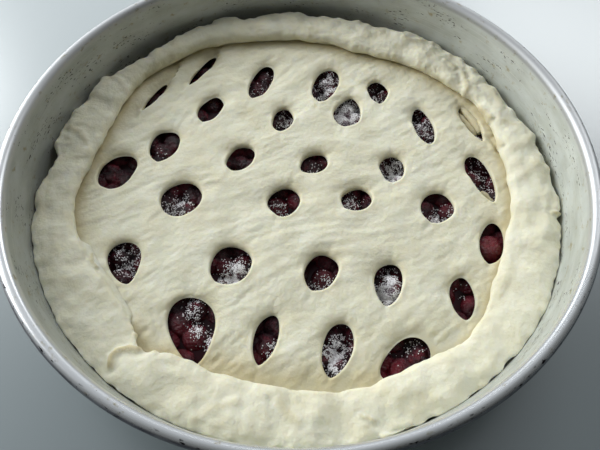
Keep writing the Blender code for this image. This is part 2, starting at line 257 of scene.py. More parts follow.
# A crease's raised shoulders: share of its depth, and place in half widths.
CREASE_SHOULDER = 0.4
CREASE_SHOULDER_PLACE = 2.2

# Each cut runs on faintly past its slit: length, depth and half width in mm.
SLIT_TAIL = (7, 0.2, 1.2)

# Dough folded up under two slits: width, thickness and top in mm, then the line in mm.
FOLDS = [
    (5.0, 6, 18.6, [(97, 63), (101, 57), (105, 49.5), (107.5, 41)]),
    (5.2, 6, 17.3, [(94.6, 59), (98.2, 51.5), (102.0, 44.5), (104.2, 39.5)]),
    (4.0, 3, 15.8, [(101, 0), (105, -4), (109, -9)]),
]
FOLD_LAYERS = [(0.5, 4, 1.3), (0.5, 9, 0.0)]
FOLD_SIDES = 20
FOLD_STEPS = 40
# How much painted shade lies over the folds.
FOLD_SHADE = 0.95

# The top sheet.
SHEET_UNDERSIDE = 17.4 * MM
SHEET_EDGE_TOP = 20 * MM
SHEET_RISE = 1.4 * MM
SHEET_LEVEL_RADIUS = 107 * MM
SHEET_LUMP = 0.5 * MM
SHEET_LUMP_SIZE = 26 * MM
SHEET_CALM_MIDDLE = np.array([0, -10]) * MM
SHEET_CALM_RADIUS = 45 * MM
SHEET_CALM_FADE = 40 * MM
SHEET_WARP = 9 * MM
SHEET_WARP_SIZE = 50 * MM
SHEET_WARP_SHIFTS = (3.3, 8.1)
SHEET_TROUGH = 2.3 * MM
SHEET_TROUGH_RADIUS = 114 * MM
SHEET_TROUGH_WIDTH = 13 * MM
SHEET_TROUGH_AZIMUTH = 285
SHEET_TROUGH_SPAN = 46
SHEET_TROUGH_STEEPNESS = 4
SHEET_GRID = 1.15 * MM
SHEET_HIDDEN_RADIUS = 123 * MM
SHEET_EDGE_STEPS = 360
SHEET_THINNEST = 0.4 * MM
SLIT_STEPS = 60
SLIT_COARSE_STEPS = 48
SLIT_RINGS = (0.12, 0.35, 0.7, 1.2, 1.9)
LIP_ROUND_NEAR = 0.7 * MM
LIP_ROUND_FAR = 2.0 * MM
LIP_SAG = 1.3 * MM
LIP_SAG_REACH = 4 * MM
LIP_BEAD = 0.22 * MM
LIP_BEAD_PLACE = 1.1 * MM
LIP_BEAD_WIDTH = 0.6
SLIT_WOBBLE = 0.045
SLIT_NEAR_POINT = 0.16

# Relief of the sheet, as for the roll. Its streaks lean one way in the calm middle and another
# way round it.
SHEET_BULGES = (0.85, 12.5, 1.7)
LONG_STREAKS = (0.45, (15, 3.8, 9), 4.4)
SHORT_STREAKS = (0.15, (5.5, 2.3, 9), 6.2)
STREAK_LEANS = (14, 34)

# Shade painted on the sheet: fading away from the roll, in the near trough, at lips and at steps.
EDGE_SHADES = [(0.5, 8 * MM), (0.6, 3 * MM)]
BLEND_PALENESS = 0.8
TROUGH_SHADE = 1.1
TROUGH_SHADE_AZIMUTH = 268
TROUGH_SHADE_SPAN = 34
TROUGH_SHADE_REACH = 11 * MM
LIP_SHADE = 0.45
STEP_SHADE = 0.8
STEP_SHADE_DEPTH = 2.2 * MM

# Slits, far row first: x, y, width, length in mm, lean in degrees from +Y to +X, and how much
# narrower the near end is than the far end.
SLITS = [
    (-87, 66, 5, 26, 26, 0.0), (-60, 89, 6, 29, 28, 0.0), (-23, 79, 13, 30, 18, 0.0),
    (16.5, 76, 15, 30.5, 17, 0.1), (48.5, 70.5, 12.5, 19, 0, 0.15),
    (-52.5, 56, 13.5, 22.5, 19, 0.0), (-9, 47.5, 12.5, 20, 6, -0.1),
    (29.5, 54, 16, 24.5, 12, -0.2), (73.5, 43.5, 12, 28, -8, 0.0), (102, 46, 8, 29, -18, 0.1),
    (-100.5, 9.5, 19, 26, 33, 0.0), (-76.5, 28, 17, 23.5, 11, 0.0),
    (-32.5, 18.5, 15, 20, 25, 0.0), (9, 15, 14, 17, 51, 0.0), (52.5, 11.5, 14, 19.5, 5, 0.1),
    (101.5, 6, 12.5, 33, -14, 0.2), (-63, -9, 22, 23.5, 45, 0.0), (-7.5, -11, 17.5, 20, 18, 0.0),
    (31.5, -9.5, 15.5, 17.5, 50, 0.0), (74.5, -14, 17.5, 21, 28, 0.0),
    (-87.5, -48, 16.5, 25, -15, 0.3), (-34, -49.5, 21.5, 22.5, 38, 0.1),
    (11.5, -53.5, 16.5, 22, 23, 0.1), (45, -59.5, 14, 24, 11, 0.15),
    (100.5, -35.5, 12.5, 25.5, 16, 0.0), (81, -66.5, 12, 23, 0, 0.0),
    (-50, -84, 21.5, 35, -10, 0.35), (-15, -88.5, 11, 26, 13, 0.15),
    (18.5, -93.5, 14, 27, 16, 0.2), (49.5, -98, 15.5, 28, 55, 0.3),
]

# The filling.
BED_TOP = 12 * MM
CHERRY_RADII = (6.5 * MM, 8 * MM)
CHERRY_FLATNESS = 0.8
CHERRY_SIDES = 20
CHERRY_RINGS = 14
CHERRY_LUMP = 0.10
CHERRY_DENT = 0.22
CHERRY_DENT_WIDTH = 0.10
CHERRY_SPACING = 9.2 * MM
CHERRY_MARGIN = 6 * MM
CHERRY_SINK = 1.6 * MM
CHERRY_TRIES = 400
CHERRY_SEED = 11

# Cherries that stand up in a slit: slit number, along and across from -1 to 1, top and radius.
RISEN_CHERRIES = [(24, -0.1, 0.0, 19.2 * MM, 8 * MM), (9, -0.85, 0.0, 17.0 * MM, 6.5 * MM)]

# Redder flesh: slit number, how much, and where in the slit, as for the sugar.
RED_FLESH = [
    (25, 0.6, 0.0, 0.0, 0.8), (24, 0.95, -0.1, 0.1, 0.8), (26, 0.7, -0.2, -0.4, 0.5),
    (29, 0.9, -0.6, 0.0, 0.6), (10, 0.25, -0.6, -0.3, 0.5), (20, 0.5, -0.2, 0.6, 0.4),
    (27, 0.6, -0.5, 0.0, 0.4), (21, 0.4, -0.2, -0.5, 0.4), (19, 0.5, 0.1, 0.3, 0.5),
    (15, 0.4, 0.1, 0.2, 0.5), (22, 0.4, 0.0, 0.2, 0.5), (17, 0.4, 0.0, 0.2, 0.5),
]
RED_STRENGTH = 0.8
CHERRY_TONES = [
    (0.38, (0.010, 0.001, 0.003)), (0.52, (0.038, 0.002, 0.007)), (0.68, (0.14, 0.004, 0.015)),
]
CHERRY_RED = (0.15, 0.002, 0.010)
JUICE_TONES = [(0.35, (0.006, 0.001, 0.002)), (0.7, (0.035, 0.002, 0.007))]

# Sugar: slit number, how much, and where in the slit: along and across, from -1 to 1, and spread.
SUGAR = [
    (2, 0.12, -0.3, 0.2, 0.5), (3, 0.6, 0.1, 0.1, 0.5), (4, 0.25, 0.2, 0.0, 0.6),
    (6, 0.5, 0.0, 0.2, 0.6), (7, 1.45, 0.0, 0.0, 0.6), (8, 0.7, 0.1, 0.0, 0.7),
    (11, 0.06, -0.3, 0.0, 0.5), (13, 0.15, -0.2, 0.3, 0.5), (14, 1.5, -0.1, 0.3, 0.55),
    (15, 0.3, 0.0, 0.2, 0.7), (16, 0.35, -0.35, 0.1, 0.4),
    (17, 0.3, -0.4, -0.3, 0.4), (18, 0.38, -0.5, -0.2, 0.45), (19, 0.4, -0.4, 0.5, 0.4),
    (20, 0.45, 0.4, 0.0, 0.45), (21, 1.0, -0.15, 0.5, 0.38), (22, 0.3, -0.5, 0.4, 0.4),
    (23, 1.3, -0.2, 0.0, 0.45), (25, 0.08, 0.4, 0.2, 0.5), (26, 0.2, 0.75, 0.05, 0.25),
    (26, 0.15, 0.05, 0.15, 0.15), (26, 0.14, -0.35, 0.75, 0.2), (27, 0.4, -0.35, 0.55, 0.22),
    (28, 1.15, -0.1, 0.05, 0.36), (29, 0.12, 0.5, -0.3, 0.3), (9, 0.5, -0.8, 0.0, 0.2),
]
PATCH_REACH = 1.3

# Grains tried for an amount of 1 in a slit of a certain width times length, in mm.
SUGAR_GRAINS = 1900
SUGAR_SLIT_AREA = 300
SUGAR_CONTRAST = 1.4
SUGAR_SIZES = (0.25 * MM, 0.5 * MM)
SUGAR_CLUMP = 2.6 * MM
SUGAR_SHIFT = Vector((0.3, 0.7, 0.5))
SUGAR_CLUMP_LEVELS = (0.02, 0.28)
SUGAR_SEED = 5
SUGAR_TONES = [(0.35, (0.62, 0.58, 0.60)), (0.55, (0.95, 0.94, 0.95))]
SUGAR_DUST = (0.42, 0.36, 0.40)
DUST_STRENGTH = 0.34
DUST_LEVEL = -0.72
DUST_SOFTNESS = 0.22

# Noise in the materials: scale, detail and roughness.
DOUGH_BLOTCH = (70, 5, 0.6)
DOUGH_GRAIN = (430, 5, 0.65)
CHERRY_BLOTCH = (130, 6, 0.68)
CHERRY_WRINKLE = (330, 5, 0.62)
DUST_SPECK = (1700, 2, 0.7)
JUICE_RIPPLE = (160, 3, 0.5)
SUGAR_BLOTCH = (900, 2, 0.5)


def scene_camera():
    """The photo's camera: level yaw, then pitch down, then a small roll."""
    back = Vector((
        math.sin(CAMERA_YAW) * math.cos(CAMERA_PITCH),
        -math.cos(CAMERA_YAW) * math.cos(CAMERA_PITCH),
        math.sin(CAMERA_PITCH),
    ))
    right = Vector((0, 0, 1)).cross(back).normalized()
    up = back.cross(right)
    turned_right = math.cos(CAMERA_ROLL) * right + math.sin(CAMERA_ROLL) * up
    turned_up = -math.sin(CAMERA_ROLL) * right + math.cos(CAMERA_ROLL) * up
    data = bpy.data.cameras.new("camera")
    data.lens = CAMERA_LENS
    data.sensor_width = CAMERA_SENSOR
    data.clip_start = 0.01
    camera = bpy.data.objects.new("camera", data)
    bpy.context.scene.collection.objects.link(camera)
    rotation = Matrix((turned_right, turned_up, back)).transposed()
    camera.matrix_world = Matrix.Translation(CAMERA_PLACE) @ rotation.to_4x4()
    bpy.context.scene.camera = camera


def area_light(name, place, target, size, power, colour):
    data = bpy.data.lights.new(name, "AREA")
    data.shape = "RECTANGLE"
    data.size = size[0]
    data.size_y = size[1]
    data.energy = power
    data.color = colour
    light = bpy.data.objects.new(name, data)
    bpy.context.scene.collection.objects.link(light)
    aim = Vector(target) - Vector(place)
    light.matrix_world = Matrix.Translation(place) @ aim.to_track_quat("-Z", "Y").to_matrix().to_4x4()


def studio():
    """Three soft windows beyond the pie, a dim room and a smooth grey table."""
    scene = bpy.context.scene
    scene.view_settings.view_transform = "Standard"
    scene.view_settings.look = "None"
    world = bpy.data.worlds.new("world")
    scene.world = world
    world.use_nodes = True
    background = world.node_tree.nodes["Background"]
    background.inputs["Strength"].default_value = ROOM_STRENGTH
    node = node_maker(world)
    direction = node("ShaderNodeTexCoord").outputs["Generated"]
    facing = node("ShaderNodeVectorMath", direction, ROOM_BRIGHT_SIDE, operation="DOT_PRODUCT")
    spread = node("ShaderNodeMapRange", facing.outputs["Value"], *ROOM_SPREAD)
    feed(background.inputs["Color"], ramp(node, spread.outputs["Result"], ROOM_TONES))
    for window in WINDOWS:
        area_light(*window)
    mesh = bpy.data.meshes.new("floor")
    sides = ((-1, -1), (1, -1), (1, 1), (-1, 1))
    mesh.from_pydata([(x * TABLE_REACH, y * TABLE_REACH, 0) for x, y in sides], [], [(0, 1, 2, 3)])
    floor = bpy.data.objects.new("floor", mesh)
    scene.collection.objects.link(floor)
    material, shader = plain_material("floor", TABLE_COLOUR, TABLE_ROUGHNESS)
    shader.inputs["IOR"].default_value = TABLE_IOR
    shader.inputs["Specular IOR Level"].default_value = 1.0
    mesh.materials.append(material)


def plain_material(name, colour, roughness):
    material = bpy.data.materials.new(name)
    material.use_nodes = True
    shader = material.node_tree.nodes["Principled BSDF"]
    feed(shader.inputs["Base Color"], colour)
    feed(shader.inputs["Roughness"], roughness)
    return material, shader


def feed(socket, value):
    """Gives an input a number, a vector or a colour, or links it to another socket."""
    if isinstance(value, bpy.types.NodeSocket):
        socket.id_data.links.new(value, socket)
    elif socket.type == "RGBA":
        socket.default_value = (*value, 1)
    else:
        socket.default_value = value


def node_maker(owner):
    """A short maker of nodes: it takes inputs in order, and inputs and settings by name."""
    def node(kind, *ordered, **named):
        made = owner.node_tree.nodes.new(kind)
        for socket, value in zip(made.inputs, ordered):
            feed(socket, value)
        for name, value in named.items():
            if name in made.inputs:
                feed(made.inputs[name], value)
            else:
                setattr(made, name, value)
        return made

    return node


def ramp(node, factor, stops):
    """A colour for each value of a factor, from a list of positions and colours or greys."""
    made = node("ShaderNodeValToRGB", factor)
    elements = made.color_ramp.elements
    while len(elements) < len(stops):
        elements.new(0.5)
    for element, (position, colour) in zip(elements, stops):
        element.position = position
        if not isinstance(colour, tuple):
            colour = (colour, colour, colour)
        element.color = (*colour, 1)
    return made.outputs["Color"]


def threshold(node, source, low, high):
    """A soft switch: 0 below low, 1 above high."""
    made = node("ShaderNodeMapRange", source, low, high, interpolation_type="SMOOTHSTEP")
    return made.outputs["Result"]


def multiply(node, first, second):
    return node("ShaderNodeMath", first, second, operation="MULTIPLY").outputs["Value"]


def mix_colour(node, factor, under, over, blend_type="MIX"):
    """Blends one colour over another by a factor."""
    made = node("ShaderNodeMix", factor, data_type="RGBA", blend_type=blend_type)
    feed(made.inputs[6], under)
    feed(made.inputs[7], over)
    return made.outputs[2]


def noise_texture(node, place, scale, detail, roughness):
    made = node("ShaderNodeTexNoise", place, Scale=scale, Detail=detail, Roughness=roughness)
    return made.outputs["Fac"]


def painted(node, name):
    """The numbers that paint() gave to the mesh."""
    return node("ShaderNodeAttribute", attribute_name=name).outputs["Fac"]


def bump(node, shader, height, strength, distance):
    """Fine relief on the shader's normal, from a height."""
    made = node("ShaderNodeBump", Strength=strength, Distance=distance, Height=height)
    feed(shader.inputs["Normal"], made.outputs["Normal"])
    return made.outputs["Normal"]


def smooth_step(value):
    value = np.clip(value, 0, 1)
    return value * value * (3 - 2 * value)


def mound(value, middle, width, power=2):
    """1 at the middle and fading over the width on both sides; a higher power is steeper."""
    return np.exp(-(((value - middle) / width) ** power))


def faded(distance, shades):
    """Sum of shares that each fade away over their own distance."""
    return sum(share * np.exp(-distance / reach) for share, reach in shades)


def azimuth_of(places):
    """Degrees from +X towards +Y, from 0 to 360."""
    return np.degrees(np.arctan2(places[:, 1], places[:, 0])) % 360


def swell(azimuth, swells):
    """Sum of rounded swells along the ring at each azimuth."""
    total = np.zeros_like(np.asarray(azimuth, float))
    for middle, half_width, change in swells:
        apart = (azimuth - middle + 180) % 360 - 180
        total += change * MM * mound(apart, 0, half_width)
    return total


def soft_noise(points, size, shift=0.0):
    """Smooth noise about zero at each point, with features of one size or a size per axis."""
    scaled = np.asarray(points) / np.asarray(size) + shift
    return np.array([noise.noise(Vector(place)) for place in scaled])


def relief(points, layer):
    """One layer of relief in mm: its height and the size of its features in mm, and a shift."""
    height, size, shift = layer
    return height * soft_noise(points, np.array(size) * MM, shift)


def line_distance(places, points):
    """Distance from each place to an open line, and which side it is on: +1 is its left."""
    nearest = np.full(len(places), np.inf)
    side = np.zeros(len(places))
    for start, end in zip(points[:-1], points[1:]):
        edge = end - start
        offset = places - start
        part = np.clip((offset @ edge) / (edge @ edge), 0, 1)
        gap = np.hypot(*(offset - part[:, None] * edge).T)
        closer = gap < nearest
        cross = edge[0] * offset[:, 1] - edge[1] * offset[:, 0]
        side[closer] = np.sign(cross[closer])
        nearest[closer] = gap[closer]
    return nearest, side


def near_line(places, points, reach):
    """Indices of the places within a reach of the line's own box."""
    low = points.min(axis=0) - reach
    high = points.max(axis=0) + reach
    return np.flatnonzero(((places > low) & (places < high)).all(axis=1))


def crease_relief(places, creases):
    """Grooves along lines, with their shoulders slightly raised."""
    depths = np.zeros(len(places))
    for depth, width, points in creases:
        points = np.array(points) * MM
        near = near_line(places, points, 5 * width * MM)
        across = line_distance(places[near], points)[0] / (width * MM)
        shoulder = CREASE_SHOULDER * mound(across, CREASE_SHOULDER_PLACE, 1)
        depths[near] -= depth * MM * (mound(across, 0, 1) - shoulder)
    return depths


def step_relief(places):
    """The torn lips: full depth just left of each line, fading away from it."""
    depths = np.zeros(len(places))
    for depth, fade, points in SHEET_STEPS:
        points = np.array(points) * MM
        near = near_line(places, points, 3 * fade * MM)
        gap, side = line_distance(places[near], points)
        to_ends = [np.hypot(*(places[near] - points[end]).T) for end in (0, -1)]
        ease = smooth_step(np.minimum(*to_ends) / (fade * MM))
        left = np.clip(side, 0, 1) * np.exp(-gap / (fade * MM))
        depths[near] -= depth * MM * left * ease
    return depths


def push_out(mesh, amounts):
    """Moves each point along its normal."""
    count = len(mesh.vertices)
    places = np.zeros(count * 3)
    normals = np.zeros(count * 3)
    mesh.vertices.foreach_get("co", places)
    mesh.vertex_normals.foreach_get("vector", normals)
    places = places.reshape(-1, 3) + normals.reshape(-1, 3) * amounts[:, None]
    mesh.vertices.foreach_set("co", places.ravel())
    mesh.update()


def mesh_points(mesh):
    places = np.zeros(len(mesh.vertices) * 3)
    mesh.vertices.foreach_get("co", places)
    return places.reshape(-1, 3)


def paint(mesh, name, values):
    """A number per point that the material reads."""
    layer = mesh.attributes.new(name, "FLOAT", "POINT")
    layer.data.foreach_set("value", np.asarray(values, dtype=np.float32))


def tin_inside(height):
    """Radius of the tin's inner wall at a height."""
    return BEAD_CENTRE[0] - BEAD_RADIUS - (BEAD_CENTRE[1] - height) * math.tan(WALL_LEAN)


def corner_centre():
    return (tin_inside(CORNER_HEIGHT) - CORNER_RADIUS / math.cos(WALL_LEAN), CORNER_HEIGHT)


def arc(centre, radius, start, end, steps):
    angles = [start + (end - start) * step / steps for step in range(steps + 1)]
    return [(centre[0] + radius * math.cos(a), centre[1] + radius * math.sin(a)) for a in angles]


def line(start, end, steps):
    """Points between two ends, without the ends themselves."""
    parts = [step / steps for step in range(1, steps)]
    return [tuple(a + (b - a) * part for a, b in zip(start, end)) for part in parts]


def add_mesh(mesh, material, replaced):
    """A smooth piece that rides on the pie and stands for a solid."""
    mesh.materials.append(material)
    mesh.shade_smooth()
    piece = bpy.data.objects.new(mesh.name, mesh)
    bpy.context.scene.collection.objects.link(piece)
    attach(piece, "root")
    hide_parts(replaced)
    return piece


def add_piece(name, points, faces, material, replaced):
    mesh = bpy.data.meshes.new(name)
    mesh.from_pydata([tuple(point) for point in points], [], faces)
    mesh.validate()
    mesh.update()
    return add_mesh(mesh, material, replaced)


def turned_solid(sections):
    """Points and faces of a closed turning: sections of radius and height at even azimuths."""
    steps, per_ring = sections.shape[:2]
    turn = np.radians(np.arange(steps) * 360 / steps)[:, None]
    radius = sections[..., 0]
    points = np.stack([radius * np.cos(turn), radius * np.sin(turn), sections[..., 1]], axis=-1)
    points = points.reshape(-1, 3)
    faces = []
    for step in range(steps):
        following = (step + 1) % steps
        for index in range(per_ring - 1):
            a = step * per_ring + index
            b = following * per_ring + index
            faces.append((a, b, b + 1, a + 1))
    for index in (0, per_ring - 1):
        ring = [step * per_ring + index for step in range(steps)]
        hub = len(points)
        points = np.vstack([points, [[0, 0, points[ring[0]][2]]]])
        for first, second in zip(ring, ring[1:] + ring[:1]):
            faces.append((hub, second, first) if index == 0 else (hub, first, second))
    return points, faces


def wall_noise(node, uv, across_size, along_size, detail):
    """Noise laid out on the tin's surface, with a size in mm round the tin and one up its profile."""
    around = math.pi * LIP_DIAMETER
    scale = (around / (across_size * MM), 1 / (along_size * MM), 1)
    mapping = node("ShaderNodeMapping", uv, Scale=scale)
    return noise_texture(node, mapping.outputs["Vector"], 1.0, detail, 0.6)


def tin_marks(node, uv, marks):
    """Soft marks on the tin's surface, where the noise is high."""
    *sizes, low, high = marks
    return threshold(node, wall_noise(node, uv, *sizes), low, high)


def profile_band(node, uv, start, end, soft):
    """1 on a band of the tin's profile, between two lengths from its middle, and 0 outside."""
    length = node("ShaderNodeSeparateXYZ", uv).outputs["Y"]
    rise = threshold(node, length, start - soft, start + soft)
    fall = threshold(node, length, end + soft, end - soft)
    return multiply(node, rise, fall)


def azimuth_shade(node, uv, stops):
    """A grey that changes round the tin."""
    return ramp(node, node("ShaderNodeSeparateXYZ", uv).outputs["X"], stops)


def tin_material():
    """Worn aluminium: dull, with turning lines, a bloom, dark pits in rows, stains, grime darkened
    with painted shade on the bead's outer edge, and painted light and shade round the tin.
    """
    material, shader = plain_material("used_aluminium", (0.58, 0.59, 0.55), 0.48)
    node = node_maker(material)
    feed(shader.inputs["Metallic"], 0.75)
    uv = node("ShaderNodeTexCoord").outputs["UV"]
    wall = profile_band(node, uv, 0, BEAD_START_LENGTH, 1 * MM)
    bead = profile_band(node, uv, BEAD_START_LENGTH, BEAD_END_LENGTH, 1.5 * MM)
    lines = wall_noise(node, uv, *TIN_LINES)
    colour = ramp(node, wall_noise(node, uv, *TIN_BLOOM), TIN_TONES)
    colour = mix_colour(node, threshold(node, lines, *TIN_STREAK_LEVELS), colour, TIN_STREAK)
    colour = mix_colour(node, bead, colour, BEAD_COLOUR)
    colour = mix_colour(node, tin_marks(node, uv, TIN_STAINS), colour, STAIN_COLOUR)
    pits = multiply(node, tin_marks(node, uv, TIN_PITS), tin_marks(node, uv, TIN_PIT_ROWS))
    colour = mix_colour(node, multiply(node, pits, wall), colour, PIT_COLOUR)
    colour = mix_colour(node, tin_marks(node, uv, TIN_SPECKS), colour, SPECK_COLOUR)
    # Painted light and shade: the wall and the bead are lighter or darker round the tin, as the
    # windows fall on them.
    bead_light_and_shade = azimuth_shade(node, uv, BEAD_LIGHT_AND_SHADE)
    painted_shading = mix_colour(node, wall, bead_light_and_shade, azimuth_shade(node, uv, WALL_LIGHT_AND_SHADE))
    colour = mix_colour(node, 1, colour, painted_shading, "MULTIPLY")
    # Grime on the bead's outer edge, made darker as painted shade where the bead faces the dark side
    # of the room.
    grime_and_shade = ramp(node, wall_noise(node, uv, *TIN_GRIME_AND_SHADE), GRIME_AND_SHADE_TONES)
    grime_and_shade = multiply(node, grime_and_shade, azimuth_shade(node, uv, GRIME_AND_SHADE_SHARES))
    grime_and_shade_band = profile_band(node, uv, BEAD_GRIME_AND_SHADE_LENGTH, BEAD_END_LENGTH, 0.6 * MM)
    colour = mix_colour(node, multiply(node, grime_and_shade_band, grime_and_shade), colour, GRIME_AND_SHADE_COLOUR)
    nick_band = profile_band(node, uv, BEAD_NICK_LENGTH, BEAD_END_LENGTH, 0.5 * MM)
    nicks = multiply(node, tin_marks(node, uv, TIN_NICKS), nick_band)
    feed(shader.inputs["Base Color"], mix_colour(node, nicks, colour, NICK_COLOUR))
    gloss = ramp(node, lines, TIN_ROUGHNESSES)
    bead_gloss = azimuth_shade(node, uv, BEAD_ROUGHNESSES)
    feed(shader.inputs["Roughness"], mix_colour(node, bead, gloss, bead_gloss))
    bump(node, shader, lines, 0.15, 0.2 * MM)
    return material


def make_tin():
    """The turned tin, with its profile's length laid out for the material."""
    down = math.radians(-90)
    inner_corner = arc(corner_centre(), CORNER_RADIUS, down, -WALL_LEAN, 8)
    bead = arc(BEAD_CENTRE, BEAD_RADIUS, math.pi, BEAD_END, 28)
    outer_corner = arc(corner_centre(), CORNER_RADIUS + TIN_SHEET, -WALL_LEAN, down, 8)
    inner_end = (PROFILE_START, TIN_SHEET)
    outer_end = (PROFILE_START, 0)
    profile = [inner_end, *line(inner_end, inner_corner[0], 6), *inner_corner]
    profile += line(inner_corner[-1], bead[0], 14) + bead + line(bead[-1], outer_corner[0], 14)
    profile += outer_corner + line(outer_corner[-1], outer_end, 6) + [outer_end]
    profile = np.array(profile)
    points, faces = turned_solid(np.repeat(profile[None], TIN_STEPS, axis=0))
    tin = add_piece("aluminium_tin", points, faces, tin_material(), "baking_tin")
    lay_out_turning(tin.data, profile)
    return tin


def lay_out_turning(mesh, profile):
    """A map of the turned surface: parts of a turn across, and length along the profile up."""
    lengths = np.concatenate([[0], np.cumsum(np.hypot(*np.diff(profile, axis=0).T))])
    corners = np.zeros(len(mesh.loops), dtype=np.int64)
    mesh.loops.foreach_get("vertex_index", corners)
    corners = np.minimum(corners, TIN_STEPS * len(profile) - 1)
    places = np.stack([corners // len(profile) / TIN_STEPS, lengths[corners % len(profile)]], axis=-1)
    first = np.zeros(len(mesh.polygons), dtype=np.int64)
    total = np.zeros(len(mesh.polygons), dtype=np.int64)
    mesh.polygons.foreach_get("loop_start", first)
    mesh.polygons.foreach_get("loop_total", total)
    for start, count in zip(first, total):
        across = places[start:start + count, 0]
        if across.max() - across.min() > 0.5:
            across[across < 0.5] += 1
    mesh.uv_layers.new(name="turning").data.foreach_set("uv", places.ravel())


def end_step(azimuths):
    """How much lower the roll's flattened start is than the end that lies over it."""
    before = ROLL_END_AZIMUTH - azimuths
    side = 1 / (1 + np.exp(np.clip(-before / ROLL_END_SHARPNESS, -50, 50)))
    return ROLL_END_STEP * side * mound(before, 0, ROLL_END_FADE)


def roll_blend(azimuths):
    """1 where the roll and the sheet run into each other, and 0 elsewhere."""
    rise = smooth_step((azimuths - BLEND_START) / BLEND_EASE + 0.5)
    return rise * smooth_step((BLEND_END - azimuths) / BLEND_EASE + 0.5)


def roll_relief(points):
    """Lumps, stretch marks and fine grain of the roll, with pits where it is crumpled."""
    azimuth = azimuth_of(points)
    crumple = swell(azimuth, ROLL_CRUMPLES) / MM
    radius = np.hypot(*points[:, :2].T)
    rolled = np.stack([np.radians(azimuth) * ROLL_OUTER, radius, points[:, 2]], axis=-1)
    lumps = relief(points, ROLL_LUMPS) + relief(points, ROLL_KNOBS) * (1 + crumple)
    fine = relief(rolled, ROLL_STRETCH) + relief(points, ROLL_GRAIN)
    ridges = np.abs(relief(points, ROLL_RIDGES))
    pits = ROLL_PIT_DEPTH * smooth_step(1 - ridges / ROLL_PIT_WIDTH) * crumple
    outer = ROLL_OUTER + swell(azimuth, OUTER_SWELLS)
    fringe = relief(points, ROLL_FRINGE) * smooth_step((radius - outer) / ROLL_FRINGE_REACH + 1)
    return MM * (lumps + fine - pits + fringe)


def roll_sections(azimuths):
    """The rolled edge at each azimuth: a squashed round that overhangs the top sheet."""
    inner = (ROLL_INNER + swell(azimuths, INNER_SWELLS))[:, None]
    outer = (ROLL_OUTER + swell(azimuths, OUTER_SWELLS))[:, None]
    crown = (ROLL_CROWN + swell(azimuths, CROWN_SWELLS) - end_step(azimuths))[:, None]
    half_height = (crown - ROLL_BASE) / 2 * ROLL_FULLNESS
    power = 2 / ROLL_SQUARENESS
    angles = np.radians(ROLL_ANGLES)[None]
    reach = np.cos(angles)
    lift = np.sin(angles)
    radius = (inner + outer) / 2 - np.sign(reach) * np.abs(reach) ** power * (outer - inner) / 2
    height = crown - half_height + np.sign(lift) * np.abs(lift) ** power * half_height
    lowness = 1 - (height - ROLL_BASE) / ((crown - ROLL_BASE) * SKIRT_TOP)
    reach_in = swell(azimuths, ROLL_SKIRTS) + BLEND_SKIRT * roll_blend(azimuths)
    skirt = reach_in[:, None] * np.clip(lowness, 0, 1) ** SKIRT_POWER
    radius = radius - np.where(reach > 0, skirt, 0)
    turn = np.radians(azimuths)[:, None]
    places = np.stack([radius * np.cos(turn), radius * np.sin(turn), height], axis=-1)
    lump = ROLL_LUMP * soft_noise(places.reshape(-1, 3), ROLL_LUMP_SIZE).reshape(radius.shape)
    height = np.maximum(height + lump * lift, ROLL_FOOT)
    return np.stack([radius - lump * reach, height], axis=-1)


def dough_material(name):
    """Raw dough: pale, faintly mottled, with yellow-brown painted shade where the mesh asks for it,
    soft under the surface.
    """
    material, shader = plain_material(name, DOUGH_TONES[1][1], 0.62)
    node = node_maker(material)
    place = node("ShaderNodeTexCoord").outputs["Object"]
    tone = ramp(node, noise_texture(node, place, *DOUGH_BLOTCH), DOUGH_TONES)
    # Painted shade: the painted numbers mix in a yellow-brown for the shade in hollows, creases, lips
    # and folds.
    painted_shade = multiply(node, painted(node, "painted_shade"), PAINTED_SHADE_STRENGTH)
    feed(shader.inputs["Base Color"], mix_colour(node, painted_shade, tone, DOUGH_SHADE_COLOUR))
    grain = noise_texture(node, place, *DOUGH_GRAIN)
    feed(shader.inputs["Roughness"], ramp(node, grain, DOUGH_ROUGHNESSES))
    bump(node, shader, grain, 0.7, 0.8 * MM)
    feed(shader.inputs["Subsurface Weight"], 0.4)
    feed(shader.inputs["Subsurface Radius"], (1.0, 0.8, 0.4))
    feed(shader.inputs["Subsurface Scale"], 2.8 * MM)
    feed(shader.inputs["Specular IOR Level"], 0.3)
    return material


